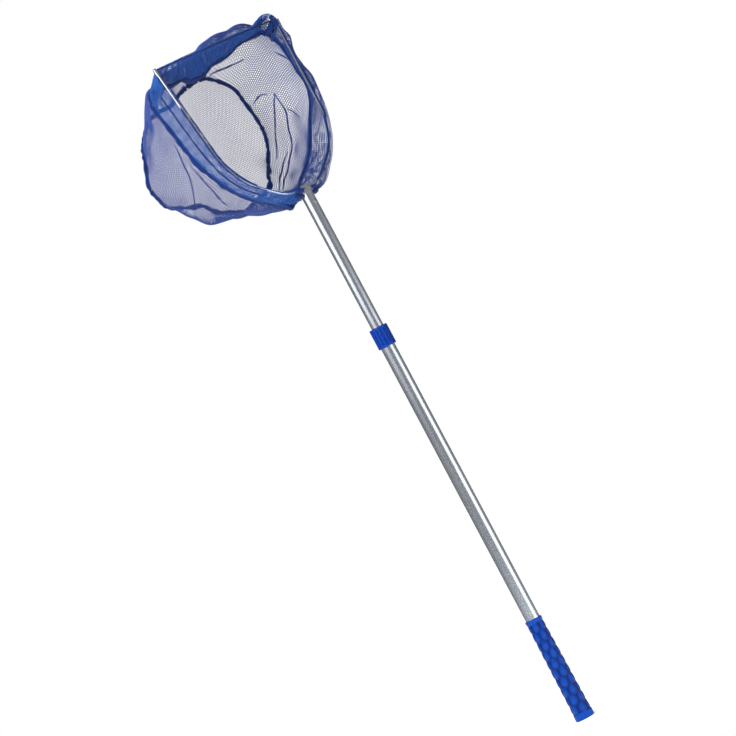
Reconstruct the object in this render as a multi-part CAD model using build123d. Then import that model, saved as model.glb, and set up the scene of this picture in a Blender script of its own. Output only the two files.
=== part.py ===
from build123d import *

import math
import os

# Leaf skimmer net: a telescopic pole with a twist lock, and a folding hoop of two bent rods that
# carries a deep netting bag. Millimetres.
#
# Row frame: +Z runs up the pole from the centre of the butt face. The hoop stands in the XZ plane and
# leans back a little, its mouth faces -Y, and the bag hangs towards +Y.
# Head frame: the same axes, but with its origin at the top of the upper tube, and leaning back by
# HEAD_TILT. The yoke's fork, the arms and all the netting are drawn in it.

# ---- driving dimensions ---------------------------------------------------------------------------

# Heights along the pole
GRIP_TOP = 165.0
COLLAR_BOTTOM = 619.0
COLLAR_TOP = 651.0
MAST_TOP = 873.0

# Tubes
LOWER_RADIUS = 11.0
LOWER_BORE = 10.0
UPPER_RADIUS = 9.5
UPPER_BORE = 8.7
UPPER_LENGTH = 620.0

# Grip, butt cap
GRIP_TOP_RADIUS = 13.0
GRIP_BUTT_RADIUS = 15.6
BUTT_BAND = 9.0
GRIP_RINGS = 10
GRIP_RING_DEPTH = 0.5
GRIP_LIP = 3.0
GRIP_LIP_STEP = 0.3
GRIP_NECK = 2.0
CAP_FLANGE = 3.0
CAP_LENGTH = 18.0

# Collar and the liner under it
COLLAR_RADIUS = 14.2
COLLAR_LIP_BORE = 9.9
COLLAR_BEVEL = 1.0
COLLAR_RIM = 4.0
FLUTES = 14
FLUTE_RADIUS = 2.2
FLUTE_CENTRE = 1.2
TUBE_IN_COLLAR = 21.0
BUSH_LENGTH = 34.0
BUSH_FLANGE = 2.0
BUSH_BORE = 9.56

# Twist lock
CORE_PLUG = 18.0
CORE_FLANGE = 3.0
JOURNAL_RADIUS = 6.0
JOURNAL_LENGTH = 16.0
CAM_OFFSET = 0.3
CAM_RING_RADIUS = 9.9
CAM_RING_BORE = 6.6
CAM_RING_GAP = 0.3
CAM_RING_SLOT = 2.0
WASHER_RADIUS = 9.0
WASHER_THICKNESS = 1.5
WASHER_PLAY = 0.2
SCREW_RADIUS = 1.5
SCREW_HEAD_RADIUS = 3.5
SCREW_HEAD = 3.0
SCREW_HEAD_ROUND = 1.2
SCREW_BITE = 12.0
SCREW_HOLE_SPARE = 1.0
RECESS_LENGTH = 4.0
RECESS_WIDTH = 0.9
RECESS_DEPTH = 1.5

# Rivets and pins
RIVET_RADIUS = 1.6
RIVET_HEAD_RADIUS = 3.0
RIVET_HEAD = 1.1
RIVET_HEAD_SEAT = 0.4
PIN_RADIUS = 1.5
PIN_HEAD_RADIUS = 2.6
PIN_HEAD = 1.2
PIN_PLAY = 0.05

# Yoke
HEAD_TILT = 5.0
YOKE_PLUG = 28.0
YOKE_FLANGE = 3.0
FORK_HALF_WIDTH = 11.6
FORK_HALF_DEPTH = 7.0
FORK_BOTTOM = 1.0
FORK_TOP = 13.5
FORK_SHOULDER_ROUND = 4.0
FORK_EDGE_ROUND = 1.5
FORK_SLOT = 4.0
FORK_FLOOR = 2.5
STOP_TOP = 6.4
STOP_INNER = 9.6

# Arms: a rod bent at three corners, from the pivot to the tip. (x, height) in the head frame.
PIVOT_X = 5.3
PIVOT_HEIGHT = 8.0
ROD_RADIUS = 1.7
EYE_RADIUS = 3.9
ARM_CORNERS = [(38.0, 12.0), (96.0, 50.0), (120.0, 92.0)]
ARM_RADII = [60.0, 100.0, 100.0]
ARM_TIP = (135.0, 261.0)
TIP_RADIUS = 2.7
TIP_LENGTH = 12.0
TIP_OVER_END = 1.5
TIP_ROUND = 1.5
CORD_PLAY = 0.1

# Mouth hem, a folded strip of netting round each rod and round the front cord
HEM_WIDTH = 36.0
HEM_THICKNESS = 1.2
HEM_RADIUS = 3.4
HEM_BORE = 1.9
HEM_START = 20.0
HEM_END_GAP = 14.0
CORD_RADIUS = 0.8
CORD_HEIGHT = 258.5
KNOT_RADIUS = 2.0
FRONT_HEM_RADIUS = 2.4
FRONT_HEM_BORE = 1.0
FRONT_HEM_END_GAP = 1.5
HUB_HEM_HALF_WIDTH = 15.0
HUB_HEM_BOTTOM = -14.0
HUB_HEM_TOP = 10.0
HUB_HEM_NEAR = 12.0
HUB_HEM_ROUND = 5.0

# Bag: D-shaped outlines at three levels, from the mouth's hem to the bottom. At each, the depth at the
# hub side, how much less deep it is per mm of height, half of the D as (x, height) corners from the hub
# side round to the front corner, and the radius of each corner.
NET_THICKNESS = 1.2
BAG_LEVELS = [
    (37.0, 0.0, [(34.0, 4.0), (96.0, 46.0), (121.0, 90.0), (135.0, 259.0)], [60.0, 80.0, 80.0, 14.0]),
    (90.0, 0.06, [(40.0, 8.0), (106.0, 48.0), (138.0, 104.0), (140.0, 252.0)], [60.0, 80.0, 80.0, 30.0]),
    (150.0, 0.15, [(40.0, 32.0), (104.0, 62.0), (140.0, 130.0), (130.0, 238.0)], [60.0, 60.0, 60.0, 50.0]),
]
SEAM_WIDTH = 1.6
SEAM_DEPTH = 2.2

# ---- worked out from them -------------------------------------------------------------------------


def toward(start, end, distance):
    """The point at a distance from start on the way to end."""
    length = math.dist(start, end)
    return tuple(a + (b - a) * distance / length for a, b in zip(start, end))


HEAD = Location((0, 0, MAST_TOP), (-HEAD_TILT, 0, 0))
UPPER_BOTTOM = MAST_TOP - UPPER_LENGTH
LOWER_TOP = COLLAR_BOTTOM + TUBE_IN_COLLAR
JOURNAL_TOP = UPPER_BOTTOM - CORE_FLANGE
JOURNAL_BOTTOM = JOURNAL_TOP - JOURNAL_LENGTH
ARM_X_AT_CORD = toward(ARM_TIP, ARM_CORNERS[-1], ARM_TIP[1] - CORD_HEIGHT)[0]
EPS = 0.01
FAR = 400.0


def rod(radius, bottom, top, y=0.0):
    """An upright cylinder between two heights."""
    return Pos(0, y, (bottom + top) / 2) * Cylinder(radius, top - bottom)


def tube(radius, bore, bottom, top):
    """An upright tube between two heights."""
    return rod(radius, bottom, top) - rod(bore, bottom - EPS, top + EPS)


def cross_rod(radius, near, far, x=0.0, height=0.0):
    """A cylinder along Y between two depths."""
    return Pos(x, (near + far) / 2, height) * Rot(90, 0, 0) * Cylinder(radius, far - near)


def block(x, y, z):
    """A box given by its low and high value on each axis."""
    centre = Pos((x[0] + x[1]) / 2, (y[0] + y[1]) / 2, (z[0] + z[1]) / 2)
    return centre * Box(x[1] - x[0], y[1] - y[0], z[1] - z[0])


# ---- handle ---------------------------------------------------------------------------------------


def grip():
    """Tapered sleeve with ring-shaped waves, between a plain band at the butt and a plain lip."""
    neck = GRIP_TOP - GRIP_LIP - GRIP_NECK
    pitch = (neck - BUTT_BAND) / GRIP_RINGS
    lip_radius = GRIP_TOP_RADIUS + GRIP_LIP_STEP
    points = [(LOWER_RADIUS, 0.0), (GRIP_BUTT_RADIUS, 0.0), (GRIP_BUTT_RADIUS, BUTT_BAND)]
    for ring in range(GRIP_RINGS):
        low = BUTT_BAND + ring * pitch
        share = ring / GRIP_RINGS
        radius = GRIP_BUTT_RADIUS + (GRIP_TOP_RADIUS - GRIP_BUTT_RADIUS) * share
        points.append((radius - GRIP_RING_DEPTH, low + pitch / 4))
        points.append((radius, low + pitch * 3 / 4))
    points.append((GRIP_TOP_RADIUS - GRIP_RING_DEPTH, neck))
    points.append((lip_radius, GRIP_TOP - GRIP_LIP))
    points.append((lip_radius, GRIP_TOP))
    points.append((LOWER_RADIUS, GRIP_TOP))
    profile = make_face(Plane.XZ * Polyline(*points, close=True))
    return revolve(profile, Axis.Z)


def butt_cap():
    """Plug that closes the grip and the lower tube."""
    return rod(LOWER_RADIUS, 0, CAP_FLANGE) + rod(LOWER_BORE, CAP_FLANGE, CAP_LENGTH)


def guide_bush():
    """Flanged liner in the lower tube's mouth, a running fit on the upper tube."""
    liner = tube(LOWER_BORE, BUSH_BORE, LOWER_TOP - BUSH_LENGTH, LOWER_TOP)
    return liner + tube(LOWER_RADIUS, BUSH_BORE, LOWER_TOP, LOWER_TOP + BUSH_FLANGE)


def collar():
    """Fluted sleeve over the lower tube's end, with a lip that closes in on the upper tube."""
    lip = LOWER_TOP + BUSH_FLANGE
    body = rod(COLLAR_RADIUS, COLLAR_BOTTOM, COLLAR_TOP)
    body = chamfer(body.edges(), COLLAR_BEVEL)
    body = body - rod(LOWER_RADIUS, COLLAR_BOTTOM - EPS, lip)
    body = body - rod(COLLAR_LIP_BORE, lip - EPS, COLLAR_TOP + EPS)
    for place in PolarLocations(COLLAR_RADIUS + FLUTE_CENTRE, FLUTES):
        body = body - place * rod(FLUTE_RADIUS, COLLAR_BOTTOM + COLLAR_RIM, COLLAR_TOP - COLLAR_RIM)
    return body


# ---- twist lock -----------------------------------------------------------------------------------


def cam_ring():
    """Split ring on the eccentric journal. Turning the journal pushes it against the lower tube."""
    low = JOURNAL_BOTTOM + CAM_RING_GAP
    high = JOURNAL_TOP - CAM_RING_GAP
    ring = rod(CAM_RING_RADIUS, low, high) - rod(CAM_RING_BORE, low - EPS, high + EPS, CAM_OFFSET)
    half = CAM_RING_SLOT / 2
    slot = block((-half, half), (-CAM_RING_RADIUS - 1, 0), (low - 1, high + 1))
    return ring - slot


def core_rivet():
    """Pin through the upper tube and the core, cut flush with the tube."""
    half = math.sqrt(UPPER_RADIUS**2 - RIVET_RADIUS**2) - EPS
    return cross_rod(RIVET_RADIUS, -half, half, height=UPPER_BOTTOM + CORE_PLUG / 2)


def cam_core():
    """Plug in the upper tube's end, with a flange and the eccentric journal under it."""
    body = rod(UPPER_BORE, UPPER_BOTTOM, UPPER_BOTTOM + CORE_PLUG)
    body = body + rod(UPPER_RADIUS, JOURNAL_TOP, UPPER_BOTTOM)
    body = body + rod(JOURNAL_RADIUS, JOURNAL_BOTTOM, JOURNAL_TOP, CAM_OFFSET)
    body = body - rod(SCREW_RADIUS, JOURNAL_BOTTOM - EPS, JOURNAL_BOTTOM + SCREW_BITE)
    return body - core_rivet()


def cam_washer():
    """Disc that keeps the ring on the journal."""
    hole = SCREW_RADIUS + WASHER_PLAY
    return tube(WASHER_RADIUS, hole, JOURNAL_BOTTOM - WASHER_THICKNESS, JOURNAL_BOTTOM)


def cam_screw():
    """Pan-head screw up into the journal, with a cross recess."""
    seat = JOURNAL_BOTTOM - WASHER_THICKNESS
    head = rod(SCREW_HEAD_RADIUS, seat - SCREW_HEAD, seat)
    head = fillet(head.edges().group_by(Axis.Z)[0], SCREW_HEAD_ROUND)
    for x, y in ((RECESS_LENGTH, RECESS_WIDTH), (RECESS_WIDTH, RECESS_LENGTH)):
        head = head - Pos(0, 0, seat - SCREW_HEAD) * Box(x, y, 2 * RECESS_DEPTH)
    return head + rod(SCREW_RADIUS, seat - EPS, JOURNAL_BOTTOM + SCREW_BITE - SCREW_HOLE_SPARE)


# ---- mast -----------------------------------------------------------------------------------------


def hub_rivet():
    """Rivet through the upper tube and the yoke's plug, with a head on each side."""
    height = MAST_TOP - YOKE_PLUG / 2
    half = UPPER_RADIUS - RIVET_HEAD_SEAT
    body = cross_rod(RIVET_RADIUS, -half, half, height=height)
    for side in (-1, 1):
        near, far = sorted((side * half, side * (UPPER_RADIUS + RIVET_HEAD)))
        body = body + cross_rod(RIVET_HEAD_RADIUS, near, far, height=height)
    return body


def upper_tube():
    """Thin tube with the two rivets' holes, spot-faced where the upper rivet's heads sit."""
    body = tube(UPPER_RADIUS, UPPER_BORE, UPPER_BOTTOM, MAST_TOP)
    return body - core_rivet() - hub_rivet()


def arm_pivot_pins():
    """Two headed pins across the fork, one for each arm."""
    seat = FORK_HALF_DEPTH
    pins = []
    for side in (-1, 1):
        x = side * PIVOT_X
        pin = cross_rod(PIN_RADIUS, -seat, seat, x, PIVOT_HEIGHT)
        for end in (-1, 1):
            near, far = sorted((end * seat, end * (seat + PIN_HEAD)))
            pin = pin + cross_rod(PIN_HEAD_RADIUS, near, far, x, PIVOT_HEIGHT)
        pins.append(HEAD * pin)
    return Compound(children=pins)


def hub_yoke():
    """Plug in the upper tube with a leaning fork on top, whose shoulders stop the open arms."""
    plug = rod(UPPER_BORE, MAST_TOP - YOKE_PLUG, MAST_TOP)
    flange = rod(UPPER_RADIUS, MAST_TOP, MAST_TOP + YOKE_FLANGE)
    width = FORK_HALF_WIDTH
    depth = FORK_HALF_DEPTH
    slot = FORK_SLOT / 2
    fork = block((-width, width), (-depth, depth), (FORK_BOTTOM, FORK_TOP))
    fork = fillet(fork.edges().filter_by(Axis.Y).group_by(Axis.Z)[-1], FORK_SHOULDER_ROUND)
    fork = fillet(fork.edges().filter_by(Axis.Z), FORK_EDGE_ROUND)
    fork = fork - block((-STOP_INNER, STOP_INNER), (-slot, slot), (FORK_FLOOR, FAR))
    fork = fork - block((-FAR, FAR), (-slot, slot), (STOP_TOP, FAR))
    for side in (-1, 1):
        fork = fork - cross_rod(PIN_RADIUS, -FAR, FAR, side * PIVOT_X, PIVOT_HEIGHT)
    return (plug + flange + HEAD * fork) - hub_rivet()


# ---- arms -----------------------------------------------------------------------------------------


def arm_line(side, start, end):
    """The bent rod's centre line in the head frame, as straight runs joined by tangent arcs."""
    points = [start, *ARM_CORNERS, end]
    return FilletPolyline(*[(side * x, 0, z) for x, z in points], radius=ARM_RADII)


def round_sweep(line, radius):
    """A round bar along a line."""
    return sweep(Plane(origin=line @ 0, z_dir=line % 0) * Circle(radius), path=line)


def arm_rod(side):
    """Bent rod with a flat eye on the pivot pin."""
    pivot = (PIVOT_X, PIVOT_HEIGHT)
    bar = round_sweep(arm_line(side, pivot, ARM_TIP), ROD_RADIUS)
    body = bar + cross_rod(EYE_RADIUS, -ROD_RADIUS, ROD_RADIUS, side * PIVOT_X, PIVOT_HEIGHT)
    hole = cross_rod(PIN_RADIUS + PIN_PLAY, -FAR, FAR, side * PIVOT_X, PIVOT_HEIGHT)
    return HEAD * (body - hole - cord_bar(CORD_RADIUS + CORD_PLAY, FAR))


def cord_bar(radius, reach):
    """A straight bar along the front cord's line, reaching as far to each side."""
    return Pos(0, 0, CORD_HEIGHT) * Rot(0, 90, 0) * Cylinder(radius, 2 * reach)


def arm_tip(side):
    """Ferrule on the rod's end, drilled across for the cord."""
    start = toward(ARM_TIP, ARM_CORNERS[-1], TIP_LENGTH - TIP_OVER_END)
    end = toward(ARM_TIP, ARM_CORNERS[-1], -TIP_OVER_END)
    line = Line((side * start[0], 0, start[1]), (side * end[0], 0, end[1]))
    shell = round_sweep(line, TIP_RADIUS)
    shell = fillet(shell.edges().group_by(Axis.Z)[-1], TIP_ROUND)
    bar = round_sweep(arm_line(side, (PIVOT_X, PIVOT_HEIGHT), ARM_TIP), ROD_RADIUS)
    return HEAD * (shell - bar - cord_bar(CORD_RADIUS + CORD_PLAY, FAR))


def arm_hem(side):
    """Netting sleeve round the rod, with its doubled strip going back to the bag."""
    start = toward((PIVOT_X, PIVOT_HEIGHT), ARM_CORNERS[0], HEM_START - PIVOT_X)
    end = toward(ARM_TIP, ARM_CORNERS[-1], HEM_END_GAP)
    line = arm_line(side, start, end)
    plane = Plane(origin=line @ 0, x_dir=(0, 1, 0), z_dir=line % 0)
    strip = plane * (Pos((HEM_WIDTH + HEM_BORE) / 2, 0) * Rectangle(HEM_WIDTH - HEM_BORE, HEM_THICKNESS))
    body = sweep(plane * Circle(HEM_RADIUS) + strip, path=line)
    return HEAD * (body - round_sweep(line, HEM_BORE))


# ---- net ------------------------------------------------------------------------------------------


def front_cord():
    """Cord from tip to tip, knotted outside each ferrule."""
    reach = ARM_X_AT_CORD + TIP_RADIUS + KNOT_RADIUS
    body = cord_bar(CORD_RADIUS, reach)
    for side in (-1, 1):
        body = body + Pos(side * reach, 0, CORD_HEIGHT) * Sphere(KNOT_RADIUS)
    return HEAD * body


def front_hem():
    """Sleeve round the front cord, with its strip going back to the bag."""
    half = ARM_X_AT_CORD - TIP_RADIUS - FRONT_HEM_END_GAP
    edge = HEM_THICKNESS / 2
    strip = block((-half, half), (0, HEM_WIDTH), (CORD_HEIGHT - edge, CORD_HEIGHT + edge))
    return HEAD * (cord_bar(FRONT_HEM_RADIUS, half) + strip - cord_bar(FRONT_HEM_BORE, FAR))


def hub_hem():
    """The mouth hem gathered into a bunch behind the yoke, between the two arms."""
    half = HUB_HEM_HALF_WIDTH
    bunch = block((-half, half), (HUB_HEM_NEAR, HEM_WIDTH), (HUB_HEM_BOTTOM, HUB_HEM_TOP))
    return HEAD * fillet(bunch.edges().filter_by(Axis.Y), HUB_HEM_ROUND)


def bag_outline(level):
    """The D-shaped face of one level."""
    depth, lean, corners, radii = level
    half = [(x, depth - lean * z, z) for x, z in corners]
    mirrored = [(-x, y, z) for x, y, z in reversed(half)]
    return make_face(FilletPolyline(*half, *mirrored, radius=radii + radii[::-1], close=True))


def bag_wall():
    """The whole wall of the bag, open at the mouth and at the bottom."""
    outer = [bag_outline(level) for level in BAG_LEVELS]
    inner = [offset(face, amount=-NET_THICKNESS) for face in outer]
    return loft(outer) - loft(inner)


def net_wall(side):
    """One side's half of the wall."""
    return HEAD * (bag_wall() & block(sorted((0, side * FAR)), (-FAR, FAR), (-FAR, FAR)))


def bottom_face():
    """The D-shaped outline of the bag's bottom."""
    return bag_outline(BAG_LEVELS[-1])


def outward():
    """The direction that the bag's bottom faces, away from the mouth."""
    lean = BAG_LEVELS[-1][1]
    return Vector(0, 1, lean).normalized()


def net_bottom():
    """Flat D-shaped panel that closes the bag."""
    return HEAD * extrude(bottom_face(), NET_THICKNESS, dir=outward())


def bottom_seam():
    """Bound edge round the bottom panel."""
    ring = offset(bottom_face(), amount=SEAM_WIDTH) - bottom_face()
    return HEAD * extrude(ring, SEAM_DEPTH, dir=outward())


# ---- every node -----------------------------------------------------------------------------------

NODES = {
    "grip": grip(),
    "butt_cap": butt_cap(),
    "lower_tube": tube(LOWER_RADIUS, LOWER_BORE, CAP_FLANGE, LOWER_TOP),
    "guide_bush": guide_bush(),
    "collar": collar(),
    "cam_ring": cam_ring(),
    "cam_core": cam_core(),
    "cam_washer": cam_washer(),
    "cam_screw": cam_screw(),
    "core_rivet": core_rivet(),
    "upper_tube": upper_tube(),
    "hub_yoke": hub_yoke(),
    "hub_rivet": hub_rivet(),
    "arm_pivot_pins": arm_pivot_pins(),
    "front_cord": front_cord(),
    "front_hem": front_hem(),
    "hub_hem": hub_hem(),
    "net_bottom": net_bottom(),
    "bottom_seam": bottom_seam(),
}
for name, side in (("left", -1), ("right", 1)):
    NODES["arm_rod_" + name] = arm_rod(side)
    NODES["arm_tip_" + name] = arm_tip(side)
    NODES["hem_" + name] = arm_hem(side)
    NODES["net_wall_" + name] = net_wall(side)

os.makedirs("parts", exist_ok=True)
for name, shape in NODES.items():
    export_step(shape, f"parts/{name}.step")
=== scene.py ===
import math

import bpy
import numpy as np
from mathutils import Matrix, Vector

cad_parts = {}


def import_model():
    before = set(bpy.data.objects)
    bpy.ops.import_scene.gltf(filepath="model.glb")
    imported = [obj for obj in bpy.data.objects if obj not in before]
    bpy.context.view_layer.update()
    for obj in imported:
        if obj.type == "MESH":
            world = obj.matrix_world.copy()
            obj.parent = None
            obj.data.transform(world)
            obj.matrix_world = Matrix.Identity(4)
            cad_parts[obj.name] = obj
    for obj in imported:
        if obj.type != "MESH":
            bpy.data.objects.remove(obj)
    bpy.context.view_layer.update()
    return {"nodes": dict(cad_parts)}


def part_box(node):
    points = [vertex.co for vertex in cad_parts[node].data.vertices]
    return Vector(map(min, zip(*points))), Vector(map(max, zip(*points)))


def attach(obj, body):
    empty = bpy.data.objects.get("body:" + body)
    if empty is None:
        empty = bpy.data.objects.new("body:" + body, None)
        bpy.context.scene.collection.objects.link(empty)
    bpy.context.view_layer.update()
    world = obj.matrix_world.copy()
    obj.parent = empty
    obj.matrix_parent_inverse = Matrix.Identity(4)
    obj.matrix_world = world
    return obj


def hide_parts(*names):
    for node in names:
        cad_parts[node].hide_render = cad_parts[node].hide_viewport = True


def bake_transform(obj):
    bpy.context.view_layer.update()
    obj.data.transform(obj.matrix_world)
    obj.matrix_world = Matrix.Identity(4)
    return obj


# Leaf skimmer net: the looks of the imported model. The netting, its sewn edges and the grip are built
# here; the tubes, collar, yoke, rods and pins are the CAD's own shapes with better materials.
#
# Row frame: metres, +Z up the pole, the mouth of the net faces -Y. The netting is drawn in the head
# frame: (x, depth, height) in millimetres from the top of the upper tube, leaning back by HEAD_TILT.

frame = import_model()
nodes = frame["nodes"]

# ---- driving dimensions, in millimetres unless they say otherwise ----------------------------------

MM = 0.001
HEAD_TILT = math.radians(5.0)
MAST_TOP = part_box("upper_tube")[1].z
SIDES = {"left": -1, "right": 1}

# The bent rod's centre line, as the CAD has it: (x, height) of its corners, and their radii, and the
# height of the front cord
ROD_CORNERS = [(5.3, 8.0), (38.0, 12.0), (96.0, 50.0), (120.0, 92.0), (135.0, 261.0)]
ROD_BENDS = [60.0, 100.0, 100.0]
CORD_HEIGHT = 258.5

# Netting: the distance between its cells' centres, and the thickness of its threads
CELL = 3.3
WALL_THREAD = {"left": 0.96, "right": 1.3}
FRONT_THREAD = 1.3
HEM_THREAD = {"left": 0.9, "right": 1.15}
THREAD = 1.0

# The share of a half line's length where the bag's front corner is
CORNER = 0.7

# Stitched rolls of cloth: (width, thickness), and the length over which the ends of some narrow
HEM_EDGE_ROLL = (7.4, 5.6)
SEAM_ROLL = (7.0, 4.2)
PLEAT_ROLL = (2.3, 1.6)
PLEAT_TAPER = 22.0
CORD_ROLL = (2.4, 2.4)
POCKET_ROLL = (12.0, 10.0)
BUNCH_ROLL = (9.0, 7.5)
BUNCH_TAPER = 7.0
ROD_FOLD_ROLL = {"left": (2.4, 0.9 * 2.4), "right": (3.6, 0.9 * 3.6)}

# ---- points and curves -----------------------------------------------------------------------------


def to_row(points):
    """Head-frame points, in millimetres, as row-frame points in metres."""
    x, depth, height = np.moveaxis(np.asarray(points, float), -1, 0)
    cos, sin = math.cos(HEAD_TILT), math.sin(HEAD_TILT)
    up = MAST_TOP + (height * cos - depth * sin) * MM
    return np.stack([x * MM, (depth * cos + height * sin) * MM, up], -1)


def smooth(points, steps=24):
    """A dense line on the Catmull-Rom curve through the given points."""
    points = np.array(points, float)
    ends = np.vstack([2 * points[0] - points[1], points, 2 * points[-1] - points[-2]])
    line = []
    t = np.linspace(0, 1, steps, endpoint=False)[:, None]
    for k in range(len(points) - 1):
        a, b, c, d = ends[k : k + 4]
        line.append(b + 0.5 * t * (c - a + t * (2 * a - 5 * b + 4 * c - d + t * (3 * (b - c) + d - a))))
    return np.vstack([*line, points[-1:]])


def bent(corners, radii, steps=16):
    """A dense line of straight runs joined by tangent arcs."""
    corners = [np.array(c, float) for c in corners]
    line = [corners[0]]
    for k, radius in enumerate(radii, 1):
        back = corners[k - 1] - corners[k]
        on = corners[k + 1] - corners[k]
        back = back / np.linalg.norm(back)
        on = on / np.linalg.norm(on)
        half = math.acos(np.clip(back @ on, -1, 1)) / 2
        middle = (back + on) / np.linalg.norm(back + on)
        centre = corners[k] + middle * radius / math.sin(half)
        first = corners[k] + back * radius / math.tan(half) - centre
        last = corners[k] + on * radius / math.tan(half) - centre
        for share in np.linspace(0, 1, steps):
            ray = first * (1 - share) + last * share
            line.append(centre + ray * radius / np.linalg.norm(ray))
    return np.array([*line, corners[-1]])


def along(line, share, corner=None):
    """Points at shares of a line's length. The point numbered corner, if any, is at share CORNER."""
    run = np.concatenate([[0], np.cumsum(np.linalg.norm(np.diff(line, axis=0), axis=1))])
    if corner is None:
        run = run / run[-1]
    else:
        before = run / run[corner] * CORNER
        after = CORNER + (run - run[corner]) / (run[-1] - run[corner]) * (1 - CORNER)
        run = np.where(np.arange(len(run)) <= corner, before, after)
    return np.stack([np.interp(share, run, line[:, k]) for k in range(line.shape[1])], -1)


def unit(vectors):
    """The vectors with a length of 1."""
    return vectors / np.maximum(np.linalg.norm(vectors, axis=-1, keepdims=True), 1e-9)


def fade(value, low, high):
    """0 below low, 1 above high, and a smooth step between."""
    t = np.clip((value - low) / (high - low), 0, 1)
    return t * t * (3 - 2 * t)


def waves(a, b, seed, sizes):
    """Smooth unevenness over a surface: sums of sine waves of the given lengths, from -1 to 1 or so."""
    random = np.random.default_rng(seed)
    total = np.zeros(np.broadcast(a, b).shape)
    for size in sizes:
        for _ in range(3):
            turn, phase = random.uniform(0, 2 * math.pi, 2)
            total += np.sin((a * math.cos(turn) + b * math.sin(turn)) * 2 * math.pi / size + phase)
    return total / (3 * len(sizes)) ** 0.5


# ---- meshes ----------------------------------------------------------------------------------------


def new_piece(name, points, faces, material):
    """A smooth-shaded mesh of row-frame points."""
    mesh = bpy.data.meshes.new(name)
    mesh.from_pydata([tuple(p) for p in points], [], faces)
    mesh.materials.append(material)
    mesh.polygons.foreach_set("use_smooth", [True] * len(mesh.polygons))
    mesh.update()
    piece = bpy.data.objects.new(name, mesh)
    bpy.context.scene.collection.objects.link(piece)
    return piece


def hex_lattice(width, length, cell, inside=None):
    """Flat six-sided cells over a rectangle: vertices, and the vertex numbers of each cell."""
    row_step = cell * math.sqrt(3) / 2
    rows = np.arange(int(length / row_step) + 2)
    columns = np.arange(int(width / cell) + 2)
    column, row = [g.ravel() for g in np.meshgrid(columns, rows)]
    centres = np.stack([(column + 0.5 * (row % 2)) * cell, row * row_step], -1)
    if inside is None:
        kept = (centres[:, 0] <= width) & (centres[:, 1] <= length)
    else:
        kept = inside(centres)
    centres = centres[kept]
    angles = np.radians(30 + 60 * np.arange(6))
    ring = np.stack([np.cos(angles), np.sin(angles)], -1) * cell / math.sqrt(3)
    loose = (centres[:, None, :] + ring).reshape(-1, 2)
    _, first, numbers = np.unique(np.round(loose / cell * 8), axis=0, return_index=True, return_inverse=True)
    flat = loose[first]
    return flat, numbers.reshape(-1, 6)


def wired(name, points, cells, material, thread):
    """A mesh whose cells' edges have become threads."""
    piece = new_piece(name, points, cells.tolist(), material)
    wire = piece.modifiers.new("threads", "WIREFRAME")
    wire.thickness = thread * MM
    wire.use_even_offset = False
    wire.use_boundary = True
    wire.use_replace = True
    bpy.context.view_layer.update()
    depsgraph = bpy.context.evaluated_depsgraph_get()
    solid = bpy.data.meshes.new_from_object(piece.evaluated_get(depsgraph))
    piece.modifiers.clear()
    piece.data = solid
    solid.polygons.foreach_set("use_smooth", [True] * len(solid.polygons))
    return piece


def threads(name, flat, cells, surface, material, thread, seed):
    """Netting whose threads are its cells' edges, laid over surface(a, b) in the head frame. The same
    netting is first laid flat as a cut piece, which is then removed."""
    on_table = np.column_stack([flat * MM, np.zeros(len(flat))])
    cut = wired(name + "_cut", on_table, cells, material, thread)
    bpy.data.objects.remove(cut)
    random = np.random.default_rng(seed)
    uneven = random.normal(0, CELL * 0.05, flat.shape)
    return wired(name, to_row(surface(flat[:, 0], flat[:, 1], uneven)), cells, material, thread)


def panel(name, width, length, surface, material, thread, seed):
    """Netting cut as a rectangle and laid over surface(s, t), with s and t from 0 to 1."""
    flat, cells = hex_lattice(width, length, CELL)

    def place(a, b, uneven):
        s = np.clip((a + uneven[:, 0]) / width, 0, 1)
        t = np.clip((b + uneven[:, 1]) / length, 0, 1)
        s = np.where(a <= 0, 0.0, np.where(a >= width, 1.0, s))
        t = np.where(b <= 0, 0.0, np.where(b >= length, 1.0, t))
        return surface(s, t)

    return threads(name, flat, cells, place, material, thread, seed)


def roll(line, size, seed, flat_way, taper):
    """A gathered, stitched roll of cloth along a head-frame line: flattened, of uneven width, narrowing
    over the length taper at its ends, and wound with stitches that stand out as slanting ridges."""
    width, thickness = size
    ring_gap, sides = 0.8, 10
    stitch_pitch, stitch_height = 3.2, 0.16
    length = np.linalg.norm(np.diff(line, axis=0), axis=1).sum()
    rings = max(8, int(length / ring_gap))
    share = np.linspace(0, 1, rings)
    centre = along(line, share)
    tangent = unit(np.gradient(centre, axis=0))
    across = unit(np.cross(tangent, np.broadcast_to(np.array(flat_way, float), tangent.shape)))
    out = np.cross(across, tangent)
    run = share * length
    turn = np.arange(sides) * 2 * math.pi / sides
    gather = 1 + 0.3 * waves(run, 0 * run, seed, (9.0, 17.0, 31.0))
    close = np.minimum(1, 0.3 + np.minimum(run, length - run) / taper)
    stitch = 1 + stitch_height * np.sin(turn[None, :] * 2 + run[:, None] * 2 * math.pi / stitch_pitch)
    half_width = (width / 2 * gather * close)[:, None] * stitch
    half_thickness = (thickness / 2 * close)[:, None] * stitch
    points = (
        centre[:, None, :]
        + across[:, None, :] * (half_width * np.cos(turn))[..., None]
        + out[:, None, :] * (half_thickness * np.sin(turn))[..., None]
    )
    faces = [tuple(range(sides)), tuple(reversed(range((rings - 1) * sides, rings * sides)))]
    for k in range(rings - 1):
        for j in range(sides):
            n = (j + 1) % sides
            faces.append((k * sides + j, (k + 1) * sides + j, (k + 1) * sides + n, k * sides + n))
    return points.reshape(-1, 3), faces


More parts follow.
